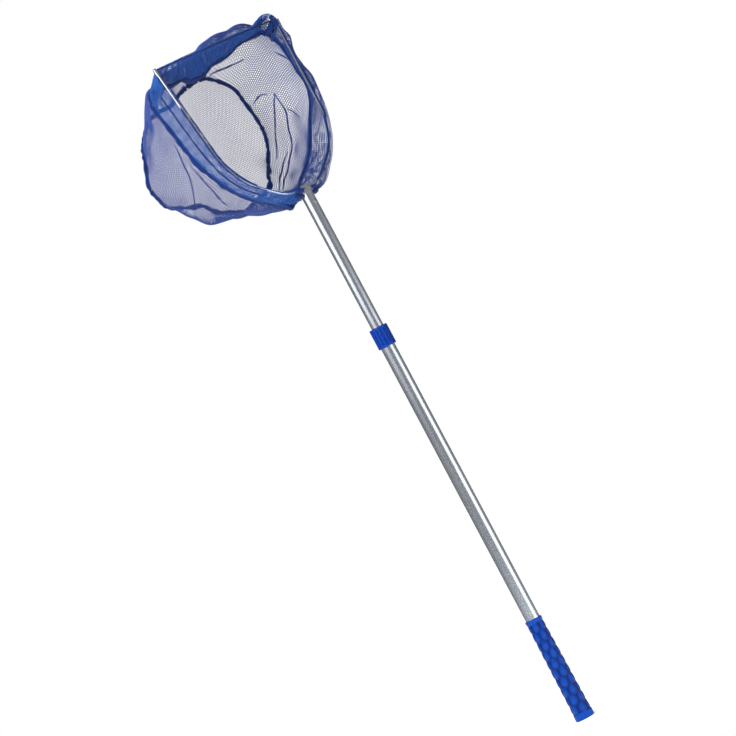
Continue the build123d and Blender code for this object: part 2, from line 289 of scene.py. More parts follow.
def sewn_edge(name, lines, size, material, seed, flat_way=(0, 0, 1), taper=4.0):
    """Stitched rolls along several head-frame lines, as one piece."""
    points, faces = [], []
    for number, line in enumerate(lines):
        start = sum(len(p) for p in points)
        new_points, new_faces = roll(line, size, seed + number, flat_way, taper)
        points.append(new_points)
        faces += [tuple(start + corner for corner in face) for face in new_faces]
    return new_piece(name, to_row(np.vstack(points)), faces, material)


# ---- materials -------------------------------------------------------------------------------------


class Paint:
    """A material under construction: its Principled shader and a few node helpers."""

    def __init__(self, name):
        self.material = bpy.data.materials.new(name)
        self.material.use_nodes = True
        self.tree = self.material.node_tree
        self.shader = self.tree.nodes["Principled BSDF"]
        self.place = self.tree.nodes.new("ShaderNodeTexCoord").outputs["Object"]

    def set(self, **values):
        for name, value in values.items():
            self.shader.inputs[name.replace("_", " ")].default_value = value

    def node(self, kind, inputs=(), **settings):
        made = self.tree.nodes.new("ShaderNode" + kind)
        for name, value in settings.items():
            setattr(made, name, value)
        for socket, value in dict(inputs).items():
            if isinstance(value, bpy.types.NodeSocket):
                self.tree.links.new(value, made.inputs[socket])
            else:
                made.inputs[socket].default_value = value
        return made

    def stretched(self, scale):
        """The object's coordinates, scaled along each axis."""
        return self.node("Mapping", {"Vector": self.place, "Scale": scale}).outputs["Vector"]

    def noise(self, scale, detail=3.0, vector=None):
        made = self.node("TexNoise", {"Vector": vector or self.place, "Scale": scale, "Detail": detail})
        return made.outputs["Fac"]

    def ramp(self, value, stops):
        """Colours or greys by value: stops are (position, colour)."""
        made = self.node("ValToRGB", {"Fac": value})
        band = made.color_ramp
        while len(band.elements) < len(stops):
            band.elements.new(0.5)
        for element, (position, colour) in zip(band.elements, stops):
            element.position = position
            element.color = (*colour, 1.0)
        return made.outputs["Color"]

    def colour(self, value, stops):
        self.tree.links.new(self.ramp(value, stops), self.shader.inputs["Base Color"])

    def roughness(self, value, low, high):
        inputs = {"Value": value, "From Min": 0.3, "From Max": 0.7, "To Min": low, "To Max": high}
        made = self.node("MapRange", inputs)
        self.tree.links.new(made.outputs["Result"], self.shader.inputs["Roughness"])

    def bump(self, height, distance, strength=0.5):
        made = self.node("Bump", {"Height": height, "Distance": distance, "Strength": strength})
        self.tree.links.new(made.outputs["Normal"], self.shader.inputs["Normal"])


def metal(name, dark, light, rough, brushed):
    """Drawn metal: colour drifts a little, and fine scratches run lengthwise or as a turned finish."""
    paint = Paint(name)
    grain = paint.noise(1.0, 4.0, paint.stretched(brushed))
    blotch = paint.noise(40.0)
    mixed = paint.node("Math", {0: grain, 1: blotch}, operation="MULTIPLY").outputs[0]
    paint.colour(mixed, [(0.1, dark), (0.45, light)])
    paint.roughness(grain, *rough)
    paint.bump(grain, 0.00001, 0.03)
    paint.set(Metallic=1.0)
    return paint.material


def moulded(name, dark, light, rough, grain_scale, coat=0.0, crest=None, grain_depth=0.00012):
    """Moulded plastic or rubber: a fine leather-like grain, and slightly worn, paler patches. Where
    crest(paint) is given, painted shade deepens the colour from the crests into the grooves."""
    paint = Paint(name)
    patch = paint.noise(55.0, 5.0)
    grain = paint.noise(grain_scale, 2.0)
    if crest:
        # Painted shade: the colour darkens with crest(paint) into the grooves, and random worn patches shift
        # it.
        worn = paint.node("Math", {0: patch, 1: 0.5, 2: -0.25}, operation="MULTIPLY_ADD").outputs[0]
        groove_shade_and_wear = paint.node("Math", {0: crest(paint), 1: worn}, operation="ADD").outputs[0]
        paint.colour(groove_shade_and_wear, [(0.25, dark), (1.0, light)])
    else:
        paint.colour(patch, [(0.35, dark), (0.68, light)])
    paint.roughness(patch, *rough)
    paint.bump(grain, grain_depth, 0.35)
    paint.set(Coat_Weight=coat, Coat_Roughness=0.18, Specular_IOR_Level=0.16)
    return paint.material


def fibre(name, dark, light, twist):
    """Twisted synthetic thread: fine slanting plies, uneven dye and a soft sheen."""
    paint = Paint(name)
    dye = paint.noise(90.0, 4.0)
    wave = {"Vector": paint.place, "Scale": twist, "Distortion": 2.5, "Detail": 2.0}
    plies = paint.node("TexWave", wave, bands_direction="DIAGONAL").outputs["Fac"]
    mixed = paint.node("Math", {0: dye, 1: plies}, operation="MULTIPLY").outputs[0]
    paint.colour(mixed, [(0.12, dark), (0.5, light)])
    paint.roughness(dye, 0.42, 0.62)
    paint.bump(plies, 0.00015, 0.6)
    paint.set(Sheen_Weight=0.1, Sheen_Roughness=0.4, Specular_IOR_Level=0.3)
    return paint.material


RELIEF = "relief"  # the attribute that holds the height of the grip's scales
FLUTE_DEPTH = 0.0022  # metres


def scale_crest(paint):
    """How high the grip's own scales stand, from 0 to 1; it paints shade into the grooves between them."""
    return paint.node("Attribute", attribute_name=RELIEF).outputs["Fac"]


def flute_crest(paint):
    """How near the collar's surface is to its outer radius, from 0 in a flute to 1 on a ridge; it paints
    shade into the flutes.
    """
    flat = paint.node("VectorMath", {0: paint.place, 1: (1.0, 1.0, 0.0)}, operation="MULTIPLY").outputs[0]
    far = paint.node("VectorMath", {0: flat}, operation="LENGTH").outputs["Value"]
    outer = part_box("collar")[1].x
    inputs = {"Value": far, "From Min": outer - FLUTE_DEPTH, "From Max": outer}
    return paint.node("MapRange", inputs).outputs["Result"]


# Each look: its darkest and lightest colour, then its roughness and grain or its twist
NETTING = fibre("netting_thread", (0.020, 0.040, 0.17), (0.042, 0.080, 0.33), 900.0)
# The pleats' thread is a darker copy of the netting: painted shade in the creases.
SHADED_PLEAT_THREAD = fibre("pleat_shaded_thread", (0.016, 0.022, 0.12), (0.035, 0.048, 0.24), 900.0)
HEM_NETTING = fibre("hem_thread", (0.012, 0.058, 0.25), (0.026, 0.125, 0.46), 900.0)
# The front sleeve's thread is a darker copy of the hem's: painted shade.
FRONT_SHADED_NETTING = fibre("front_hem_shaded_thread", (0.006, 0.038, 0.19), (0.022, 0.110, 0.46), 900.0)
# The right sleeve's thread is a darker, greyer copy of the hem's: painted shade.
SHADED_HEM_NETTING = fibre("shaded_hem_thread", (0.014, 0.034, 0.15), (0.032, 0.068, 0.28), 900.0)
EDGE = fibre("sewn_edge_thread", (0.002, 0.010, 0.07), (0.006, 0.034, 0.19), 700.0)
BRAID = fibre("front_cord_braid", (0.002, 0.006, 0.045), (0.006, 0.02, 0.12), 1100.0)
TUBE = metal("drawn_aluminium", (0.62, 0.66, 0.72), (0.72, 0.76, 0.82), (0.25, 0.29), (160.0, 160.0, 4.0))
ROD = metal("polished_rod", (0.75, 0.77, 0.80), (0.92, 0.93, 0.95), (0.12, 0.22), (500.0, 500.0, 30.0))
CAST = metal("cast_yoke", (0.60, 0.62, 0.66), (0.80, 0.82, 0.86), (0.30, 0.42), (260.0, 260.0, 260.0))
STEEL = metal("turned_steel", (0.50, 0.50, 0.52), (0.74, 0.74, 0.76), (0.18, 0.32), (300.0, 300.0, 2200.0))
# The rubber's darkest colour is painted shade in the grooves between the scales.
RUBBER_LOOK = ((0.0005, 0.014, 0.11), (0.001, 0.046, 0.31), (0.34, 0.46), 1500.0)
RUBBER = moulded("grip_rubber", *RUBBER_LOOK, crest=scale_crest)
# The collar's darkest colour is painted shade in its flutes.
COLLAR_LOOK = ((0.0005, 0.008, 0.09), (0.001, 0.032, 0.25), (0.28, 0.38), 900.0)
COLLAR = moulded("collar_gloss", *COLLAR_LOOK, coat=0.06, crest=flute_crest, grain_depth=0.00004)
LINER = moulded("lock_nylon", (0.52, 0.52, 0.48), (0.70, 0.70, 0.66), (0.45, 0.6), 700.0)

CAD_LOOKS = {
    TUBE: ["lower_tube", "upper_tube"],
    ROD: ["arm_rod_left", "arm_rod_right", "arm_tip_left", "arm_tip_right"],
    CAST: ["hub_yoke"],
    STEEL: ["cam_washer", "cam_screw", "core_rivet", "hub_rivet", "arm_pivot_pins"],
    RUBBER: ["butt_cap"],
    COLLAR: ["collar"],
    LINER: ["guide_bush", "cam_ring", "cam_core"],
}
for look, names in CAD_LOOKS.items():
    for name in names:
        for place in nodes[name].material_slots:
            place.material = look


# ---- the bag's lines -------------------------------------------------------------------------------
# Each line goes round half of the bag, from the hub side at x = 0 to the front at x = 0, and is given
# for the right half; the number after it is the point at the bag's front corner.

HEM_EDGE = {  # where the mouth hem is sewn to the bag
    "left": (
        [(0, 41, -3), (16, 37, 1), (45, 34, 16), (72, 33, 33), (94, 34, 54), (110, 35, 80), (121, 38, 109)]
        + [(125, 41, 137), (129, 43, 178), (133, 45, 215), (130, 37, 240), (95, 30, 235), (70, 30, 237)]
        + [(50, 30, 229), (24, 30, 231), (0, 30, 239)],
        10,
    ),
    "right": (
        [(0, 41, -3), (16, 40, 6), (33, 40, 18), (50, 45, 29), (78, 47, 45), (100, 45, 64), (114, 40, 85)]
        + [(126, 34, 106), (135, 24, 126), (140, 17, 150), (142, 20, 180), (142, 20, 208), (140, 22, 230)]
        + [(130, 26, 250), (100, 30, 253), (70, 30, 251), (38, 30, 242), (0, 30, 239)],
        13,
    ),
}
BELLY = {  # what the wall leans towards half-way between the hem and the bottom
    "left": (
        [(0, 88, 9), (30, 88, 9), (60, 90, 15), (80, 101, 20), (108, 130, 14), (128, 124, 36), (132, 94, 95)]
        + [(133, 86, 150), (130, 79, 205), (108, 68, 256), (80, 60, 282), (40, 50, 300), (0, 42, 304)],
        9,
    ),
    "right": (
        [(0, 88, 6), (30, 88, 6), (60, 92, 10), (84, 97, 14), (108, 101, 26), (127, 101, 58), (138, 94, 95)]
        + [(142, 80, 150), (136, 62, 205), (130, 42, 258), (118, 28, 298), (104, 26, 314), (66, 38, 318)]
        + [(32, 44, 311), (0, 42, 304)],
        10,
    ),
}
BOTTOM = {  # the seam round the bottom panel
    "left": (
        [(0, 128, 34), (58, 119, 49), (75, 122, 68), (92, 131, 76), (115, 146, 92), (127, 142, 107)]
        + [(134, 139, 130), (127, 130, 157), (113, 124, 189), (90, 113, 215), (67, 108, 221), (41, 104, 222)]
        + [(20, 101, 231), (0, 98, 237)],
        9,
    ),
    "right": (
        [(0, 128, 34), (58, 119, 49), (73, 120, 68), (86, 125, 76), (101, 132, 90), (108, 126, 105)]
        + [(115, 122, 128), (114, 119, 156), (108, 117, 186), (100, 112, 205), (80, 107, 222), (45, 100, 238)]
        + [(20, 98, 239), (0, 98, 237)],
        11,
    ),
}
STEPS = 24  # dense points for each point of a half line


def on_side(points, side):
    """Head-frame points given for the right half, mirrored if they are wanted on the left."""
    return [(SIDES[side] * x, depth, height) for x, depth, height in points]


def half_line(lines, side):
    """A half line's dense points on its own side, and the number of its corner point."""
    points, corner = lines[side]
    return smooth(on_side(points, side), STEPS), corner * STEPS


# Pleats that stand in the wall, each as a line of (s, t) on its surface
PLEATS = {
    "left": [
        [(0.51, 0.12), (0.45, 0.18), (0.37, 0.28), (0.32, 0.43)],
        [(0.425, 0.10), (0.33, 0.10), (0.24, 0.13)],
    ],
    "right": [
        [(0.685, 0.97), (0.645, 0.88), (0.625, 0.77), (0.615, 0.67)],
        [(0.475, 0.92), (0.485, 0.78), (0.48, 0.67)],
        [(0.475, 0.55), (0.425, 0.68), (0.345, 0.82), (0.28, 0.85)],
        [(0.475, 0.55), (0.43, 0.53), (0.36, 0.52), (0.29, 0.58), (0.22, 0.72), (0.145, 0.78)],
        [(0.415, 0.48), (0.38, 0.22)],
        [(0.295, 0.65), (0.235, 0.80), (0.14, 0.85)],
        [(0.595, 0.22), (0.575, 0.04)],
    ],
}
WALL_LENGTH, WALL_DEPTH = 440.0, 112.0


def pleat_lines(side):
    """The pleats of one side as dense lines of (s, t)."""
    return [smooth([(*point, 0) for point in points], 8)[:, :2] for points in PLEATS[side]]


def gathered(side, s, t):
    """Shares moved towards the pleats' lines, which crowds the threads there."""
    pull, pull_width = 0.7, 5.0
    steps = 60
    flat = np.array([WALL_LENGTH, WALL_DEPTH])
    points = np.stack([s, t], -1) * flat
    for line in pleat_lines(side):
        dense = along(line * flat, np.linspace(0, 1, steps))
        gap = points[:, None, :] - dense[None, :, :]
        nearest = np.linalg.norm(gap, axis=-1).argmin(1)
        off = gap[np.arange(len(points)), nearest]
        away = np.linalg.norm(off, axis=-1, keepdims=True)
        at_end = ((nearest == 0) | (nearest == steps - 1))[:, None]
        points = points - pull * off * np.exp(-((away / pull_width) ** 2)) * ~at_end
    shares = points / flat
    return shares[:, 0], np.clip(shares[:, 1], 0, 1)


def wall_surface(side):
    """The wall from the hem's edge (t = 0) round its belly to the bottom seam (t = 1)."""
    lines = [half_line(line, side) for line in (HEM_EDGE, BELLY, BOTTOM)]

    def surface(s, t):
        s, t = gathered(side, s, t)
        mouth, belly, bottom = (along(line, s, corner) for line, corner in lines)
        t = t[:, None]
        points = (1 - t) ** 2 * mouth + 2 * t * (1 - t) * belly + t**2 * bottom
        loose = np.sin(math.pi * t[:, 0]) * fade(s, 0, 0.06) * (1 - fade(s, 0.94, 1))
        sway = waves(s * 450, t[:, 0] * 110, 5 + SIDES[side], (38.0, 60.0, 95.0)) * 2.2 * loose
        outwards = unit(points - np.array([0.0, 70.0, 130.0]))
        return points + outwards * sway[:, None]

    return surface


def bottom_depth(x, height, rim):
    """Depth of the bottom panel: the rim's own depth at the rim, and a slight sag inside."""
    gap = np.hypot(x[:, None] - rim[None, :, 0], height[:, None] - rim[None, :, 2])
    weight = 1 / np.maximum(gap, 0.05) ** 2.5
    depth = (weight * rim[None, :, 1]).sum(1) / weight.sum(1)
    return depth + 5 * fade(gap.min(1), 0, 60)


def inside_rim(points, rim):
    """Which flat (x, height) points are inside the closed rim."""
    x, height = points[:, 0:1], points[:, 1:2]
    ax, az = rim[None, :, 0], rim[None, :, 2]
    bx, bz = np.roll(ax, -1, 1), np.roll(az, -1, 1)
    crossing = (az > height) != (bz > height)
    reach = ax + (height - az) / np.where(bz == az, 1e-9, bz - az) * (bx - ax)
    return (crossing & (x < reach)).sum(1) % 2 == 1


def bottom_panel(side, rim):
    """Half of the bottom, its cells trimmed to the rim."""
    sign = SIDES[side]
    low = rim.min(0)
    size = rim.max(0) - low

    def chosen(centres):
        flat = centres + low[[0, 2]]
        return inside_rim(flat, rim) & (sign * flat[:, 0] >= 0)

    flat, cells = hex_lattice(size[0], size[2], CELL, chosen)

    def place(a, b, uneven):
        points = np.stack([a, b], -1) + uneven + low[[0, 2]]
        outside = ~inside_rim(points, rim)
        gap = np.hypot(points[:, 0:1] - rim[None, :, 0], points[:, 1:2] - rim[None, :, 2])
        nearest = rim[gap.argmin(1)]
        points = np.where((outside | (gap.min(1) < 1.2))[:, None], nearest[:, [0, 2]], points)
        depth = bottom_depth(points[:, 0], points[:, 1], rim)
        return np.stack([points[:, 0], depth, points[:, 1]], -1)

    return threads("net_bottom_" + side, flat, cells, place, NETTING, THREAD, 11)


# ---- hems ------------------------------------------------------------------------------------------


def rod_line(side):
    """The rod's centre line in the head frame."""
    sign = SIDES[side]
    return bent([(sign * x, 0.0, height) for x, height in ROD_CORNERS], ROD_BENDS)


def sleeve(fold, edge, hollow, near_fold):
    """A flat sleeve of netting: q = 0 and q = 1 at the sewn edge, and the front fold at q = 0.5.
    fold(s) and edge(s) give the two lines, and its two layers stand hollow apart round the rod."""

    def surface(s, q):
        front, back = fold(s), edge(s)
        step = 0.004
        tangent = unit(fold(np.clip(s + step, 0, 1)) - fold(np.clip(s - step, 0, 1)))
        normal = unit(np.cross(back - front, tangent))
        way = 1 - np.abs(2 * q - 1)
        away = 1 - way
        swell = np.minimum(1, np.sqrt(away / near_fold)) * np.sqrt(1 - away)
        ripple = waves(s * 300, q * 70, 8, (16.0, 27.0, 45.0)) * np.sin(math.pi * away) * 1.0
        offset = np.sign(q - 0.5) * swell * hollow + ripple
        return front + (back - front) * away[:, None] + normal * offset[:, None]

    return surface


# Where the sleeve on an arm begins, and how far from the middle the sleeve on the front cord reaches
ARM_HEM_START = 22.0
FRONT_REACH = 132.0

# What the pieces of netting were cut to: (width, length)
ARM_HEM_CUT = (330.0, 76.0)
FRONT_HEM_CUT = (150.0, 76.0)
CORNER_FOLD_CUT = {"left": (52.0, 92.0), "right": (29.0, 56.0)}
HUB_HEM_CUT = {"left": (62.0, 70.0), "right": (44.0, 74.0)}

# The front fold of the hem's gathered middle, and how far from the middle it ends
HUB_FOLD = [(0, 17, 6), (11, 13, 4), (18, 6, 3), (25, -1, 8)]
HUB_HEM_END = 26.0

# The spare netting folded over each corner: how deep it reaches, and its lowest and highest point
CORNER_FOLD = {"left": (50.0, 208.0, 259.0), "right": (26.0, 232.0, 265.0)}

# How far the right sleeve's front fold stands out past the rod, at shares of its length, and how far it
# hangs below the rod beside the hub
FLARE = [(0, 7), (0.12, 10), (0.4, 9), (0.55, 13), (0.66, 16)]
FLARE += [(0.74, 9), (0.82, 6), (0.89, 14), (0.94, 9), (1, 9)]
FLARE_DROP = 11.0


def arm_fold(side):
    """The line of the sleeve's front fold along the arm, from the hub to the tip. On the right the
    sleeve is loose and stands out past the rod; on the left its upper part is drawn back behind it."""
    sign = SIDES[side]
    rod = rod_line(side)
    start, end = 0.045, 0.985
    flare = smooth([(share, size, 0) for share, size in FLARE])

    def fold(s):
        points = along(rod, start + (end - start) * s)
        if side == "left":
            drawn = 5.0 * fade(s, 0.5, 0.62)
            return points + np.stack([0 * s, drawn - 3.0, 0 * s], -1)
        out = np.interp(s, flare[:, 0], flare[:, 1])
        drop = FLARE_DROP * (1 - fade(s, 0.0, 0.4))
        return points + np.stack([sign * out * 0.3, -0.7 * out, -drop], -1)

    return fold


def arm_edge(side):
    """The hem's sewn edge along the arm."""
    line, corner = half_line(HEM_EDGE, side)
    part = line[: corner + 1]
    near = np.abs(np.abs(part[:, 0]) - ARM_HEM_START).argmin()
    return lambda s: along(part[near:], s)


def arm_hem(side):
    """The sleeve of netting on one arm."""
    narrow = 0.12 if side == "left" else 0.3
    surface = sleeve(arm_fold(side), arm_edge(side), 2.6, narrow)
    # The right sleeve takes the shaded copy of the hem's thread: painted shade.
    look = SHADED_HEM_NETTING if side == "right" else HEM_NETTING
    return panel("hem_net_" + side, *ARM_HEM_CUT, surface, look, HEM_THREAD[side], seed=3)


def front_hem(side):
    """Half of the sleeve of netting on the front cord, from the middle to the arm's tip."""
    sign = SIDES[side]
    line, corner = half_line(HEM_EDGE, side)
    back = line[corner:][::-1]
    bunched = 11.0 if side == "right" else 0.0

    def fold(s):
        rise = 1.5 + 2.0 * np.cos(s * math.pi / 2)
        rise = rise + bunched * np.sin(math.pi * fade(s, 0.62, 1.2))
        return np.stack([sign * FRONT_REACH * s, np.full_like(s, -2.0), CORD_HEIGHT + rise], -1)

    surface = sleeve(fold, lambda s: along(back, s), 2.0, 0.1)
    return panel("front_hem_net_" + side, *FRONT_HEM_CUT, surface, FRONT_SHADED_NETTING, FRONT_THREAD, seed=4)


def hub_hem(side):
    """Half of the hem's gathered middle, bunched behind the yoke."""
    fold_line = smooth(on_side(HUB_FOLD, side))
    line, _ = half_line(HEM_EDGE, side)
    near = np.abs(np.abs(line[:, 0]) - HUB_HEM_END).argmin()
    edge_line = line[: near + 1]

    def surface(s, q):
        base = sleeve(lambda v: along(fold_line, v), lambda v: along(edge_line, v), 2.5, 0.2)(s, q)
        pleat = np.sin(s * 2 * math.pi * 5 + 2 * q) * 2.6 * np.sin(math.pi * q) ** 0.5
        return base + np.stack([0 * pleat, 0.3 * pleat, pleat], -1)

    return panel("hub_hem_net_" + side, *HUB_HEM_CUT[side], surface, HEM_NETTING, THREAD, seed=6)


def corner_fold(side):
    """The spare netting folded over the hoop's corner, two more layers on the arm's side."""
    sign = SIDES[side]
    deep, low, top = CORNER_FOLD[side]
    foot, end = ROD_CORNERS[-2:]

    def along_rod(height):
        return end[0] - (end[1] - height) * (end[0] - foot[0]) / (end[1] - foot[1])

    def surface(s, q):
        down = 1 - np.abs(2 * q - 1)
        height = top - (top - low) * down * (0.55 + 0.45 * s)
        depth = 1 + deep * s * (0.25 + 0.75 * down) + 3 * np.sin(down * 3)
        pleat = waves(s * 50, down * 50, 9, (12.0, 21.0)) * 2.4
        out = 2.4 + 1.4 * np.sign(q - 0.5) + pleat * fade(s, 0.1, 0.5)
        x = sign * (along_rod(height) + out * fade(top - height, -6, 22))
        return np.stack([x, depth, height - 12 * s * (1 - down)], -1)

    cut = CORNER_FOLD_CUT[side]
    return panel("corner_fold_" + side, *cut, surface, HEM_NETTING, THREAD, seed=7)


# Where the cloth is bunched round the arm beside the yoke, each a crooked line of (x, depth, height)
BUNCHES = {
    "left": [
        [(8, -4, 10), (13, -6, 6), (19, -4, 9)],
        [(9, 2, 13), (14, -2, 12), (22, -2, 13)],
        [(10, 5, 2), (15, 0, 0), (22, 4, 3)],
        [(9, 26, -5), (17, 28, -4), (26, 24, 2)],
    ],
    "right": [
        [(10, -4, 9), (15, -6, 4), (20, -4, 6)],
        [(9, 2, 2), (14, -3, -2), (21, 0, 0)],
        [(11, 6, 8), (16, 4, 5), (22, 4, 10)],
    ],
}


def hub_bunch(side):
    """Crumpled cloth round the arm's root."""
    lines = [smooth(on_side(line, side)) for line in BUNCHES[side]]
    return sewn_edge("hub_bunch_" + side, lines, BUNCH_ROLL, EDGE, 27, taper=BUNCH_TAPER)


def tip_pocket():
    """The cloth bunched over the right arm's tip, and down inside the corner below it."""
    over = rod_line("right")[-1] + smooth([(-1, 2, -16), (0, 1, -6), (-1, 1, 6)])
    beneath = smooth([(120, 20, 246), (127, 9, 250), (132, 2, 258)])
    return sewn_edge("tip_pocket_right", [over, beneath], POCKET_ROLL, EDGE, 24, taper=BUNCH_TAPER)


def rod_fold_lines(side):
    """Where the hem is pulled into a tight fold along the rod."""
    rod = rod_line(side)
    if side == "right":
        upper = along(rod, np.linspace(0.46, 0.95, 40))
        lower = along(rod, np.linspace(0.09, 0.48, 30))
        return [lower + np.array([-1.3, -1.3, 0.0]), upper + np.array([1.6, -1.6, 0.0])]
    tight = along(rod, np.linspace(0.27, 0.9, 60)) + np.array([2.2, -2.4, 0.8])
    edge = arm_edge(side)(np.linspace(0.12, 0.9, 40))
    near = along(rod, np.linspace(0.2, 0.9, 40))
    cover = along(rod, np.linspace(0.2, 0.79, 50)) + np.array([-2.7, -1.0, -0.4])
    return [tight, cover, near * 0.62 + edge * 0.38 + np.array([-3.4, 0.0, 0.0])]


# ---- build the net ---------------------------------------------------------------------------------

# Reaches from the middle for the cloth: the bag's cloth over the whole half, and the cloth wrapped round a
# rod or bunched at the hub only near the hub
SLACK_REACH = 132.0
WRAPPED_REACH = 60.0

# How far from the middle the front cord reaches
CORD_REACH = 134.0


def soften(piece, side, *replaced, reach=SLACK_REACH):
    """The piece's place is baked into its mesh, and it stands for its CAD nodes, which are hidden."""
    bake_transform(piece)
    if replaced:
        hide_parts(*replaced)


def build_bag(side, rim):
    """Half of the bag: its wall, the pleats that stand in the wall, and its bottom."""
    on_wall = wall_surface(side)
    cut = (WALL_LENGTH, WALL_DEPTH)
    wall = panel("net_wall_" + side + "_threads", *cut, on_wall, NETTING, WALL_THREAD[side], seed=2)
    soften(wall, side, "net_wall_" + side)
    lines = [on_wall(line[:, 0], line[:, 1]) for line in pleat_lines(side)]
    pleats = sewn_edge("wall_pleats_" + side, lines, PLEAT_ROLL, SHADED_PLEAT_THREAD, 31, (0, 1, 0), PLEAT_TAPER)
    soften(pleats, side)
    bottom = bottom_panel(side, rim)
    soften(bottom, side, "net_bottom")


def build_hems(side):
    """Half of the mouth's sleeves: on the arm, on the front cord, at the hub and over the corner."""
    on_arm = arm_hem(side)
    soften(on_arm, side, "hem_" + side, reach=WRAPPED_REACH)
    front = front_hem(side)
    soften(front, side, "front_hem")
    at_hub = hub_hem(side)
    soften(at_hub, side, "hub_hem")
    spare = corner_fold(side)
    soften(spare, side, reach=WRAPPED_REACH)


def build_edges(side, seam_line):
    """Half of the sewn edges, folds and bunches of cloth."""
    arm = "arm_" + side
    mouth_line = half_line(HEM_EDGE, side)[0]
    mouth_edge = sewn_edge("hem_edge_" + side, [mouth_line], HEM_EDGE_ROLL, EDGE, 21, (0, 0.4, 1))
    soften(mouth_edge, side)
    seam = sewn_edge("bottom_seam_" + side, [seam_line], SEAM_ROLL, EDGE, 22, (0, 1, 0))
    soften(seam, side, "bottom_seam")
    if side == "right":
        pocket = tip_pocket()
        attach(pocket, arm)
    bunch = hub_bunch(side)
    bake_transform(bunch)
    folds = sewn_edge("rod_fold_" + side, rod_fold_lines(side), ROD_FOLD_ROLL[side], EDGE, 25)
    soften(folds, side, reach=WRAPPED_REACH)


def build_cord(side):
    """Half of the cord between the arms' tips."""
    line = np.array([(0.0, -1.0, CORD_HEIGHT + 1.0), (SIDES[side] * CORD_REACH, 0.0, CORD_HEIGHT)])
    cord = sewn_edge("front_cord_" + side, [line], CORD_ROLL, BRAID, 23)
    soften(cord, side, "front_cord")


seam_lines = {side: half_line(BOTTOM, side)[0] for side in SIDES}
whole_seam = np.vstack([seam_lines["right"], seam_lines["left"][::-1][1:-1]])
for half in SIDES:
    build_bag(half, whole_seam)
    build_hems(half)
    build_edges(half, seam_lines[half])
    build_cord(half)


# ---- grip ------------------------------------------------------------------------------------------


def grip():
    """Rubber sleeve with rows of overlapping scales between a plain rim and a lip."""
    low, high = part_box("grip")
    top = high.z
    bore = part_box("lower_tube")[1].x
    butt_radius, top_radius = 0.0152, 0.0128
    rim_height, lip_height = 0.009, 0.003
    relief_depth = 0.0022
    rows, around = 10, 6
    rings, sides = 330, 120
    z = np.linspace(0, top, rings)[:, None]
    turn = np.linspace(0, 2 * math.pi, sides, endpoint=False)[None, :]
    taper = butt_radius + (top_radius - butt_radius) * z / top
    pitch = (top - rim_height - 0.006) / rows
    best = np.zeros((rings, sides))
    half_angle = math.pi / around
    for row in range(rows):
        centre = rim_height + (row + 0.5) * pitch
        shift = (row % 2) * half_angle
        across = ((turn - shift + half_angle) % (2 * half_angle) - half_angle) / half_angle
        up = (z - centre) / pitch
        lifted = np.where(up > 0, up / 0.95, up / 0.62)
        dome = np.clip(1 - across**2 * 0.85 - lifted**2, 0, 1) ** 1.15
        best = np.maximum(best, dome)
    field = fade(z, rim_height, rim_height + 0.004) * (1 - fade(z, top - 0.008, top - 0.005))
    relief = 1 - (1 - best) * field
    radius = taper - relief_depth * (1 - relief)
    radius = radius + 0.0004 * fade(z, top - lip_height - 0.0008, top - lip_height)
    radius = radius - 0.0012 * (1 - fade(z, 0, 0.0015)) - 0.0009 * fade(z, top - 0.0009, top)
    radius = np.maximum(radius, bore)
    outer = np.stack([radius * np.cos(turn), radius * np.sin(turn), np.broadcast_to(z, radius.shape)], -1)
    ends = []
    for height in (0.0, top):
        inner = bore + 0 * turn[0]
        ends.append(np.stack([inner * np.cos(turn[0]), inner * np.sin(turn[0]), np.full(sides, height)], -1))
    points = np.vstack([ends[0], outer.reshape(-1, 3), ends[1]])
    faces = []
    for k in range(rings + 2):
        for j in range(sides):
            n = (j + 1) % sides
            a, b = k % (rings + 2), (k + 1) % (rings + 2)
            faces.append((a * sides + j, a * sides + n, b * sides + n, b * sides + j))
    sleeve_piece = new_piece("grip_sleeve", points, faces, RUBBER)
    # The scales' height is kept on the mesh for the rubber's painted shade in the grooves.
    level = np.concatenate([np.ones(sides), np.broadcast_to(relief, radius.shape).ravel(), np.ones(sides)])
    sleeve_piece.data.attributes.new(RELIEF, "FLOAT", "POINT").data.foreach_set("value", level)
    return sleeve_piece


handle_grip = grip()
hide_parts("grip")
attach(handle_grip, "handle")

# ---- studio ----------------------------------------------------------------------------------------

# The camera looks along VIEW_WAY at VIEW_CENTRE, leaning by VIEW_LEAN, and sees VIEW_WIDTH metres
VIEW_WAY = Vector((1, 1, 0)).normalized()
VIEW_RIGHT = Vector((1, -1, 0)).normalized()
UP = Vector((0, 0, 1))
VIEW_CENTRE = Vector((-0.02885, 0.02885, 0.6046))
VIEW_LEAN = math.radians(28.02)
VIEW_DISTANCE = 7.0
VIEW_WIDTH = 1.0824

# The even light's strength, and what it falls to on the far side. It falls between the two values of
# FAR_SIDE, each a cosine of the angle from VIEW_WAY.
EVEN_STRENGTH = 0.27
FAR_STRENGTH = 0.06
FAR_SIDE = (0.55, 0.9)


def area_light(name, place, aim, size, power, reflected=True):
    """A rectangular soft light. size is (width, height). A light that isn't reflected only fills."""
    light = bpy.data.lights.new(name, "AREA")
    light.shape = "RECTANGLE"
    light.size, light.size_y = size
    light.energy = power
    holder = bpy.data.objects.new(name, light)
    holder.location = place
    holder.rotation_euler = (Vector(aim) - Vector(place)).to_track_quat("-Z", "Y").to_euler()
    holder.visible_glossy = reflected
    bpy.context.scene.collection.objects.link(holder)


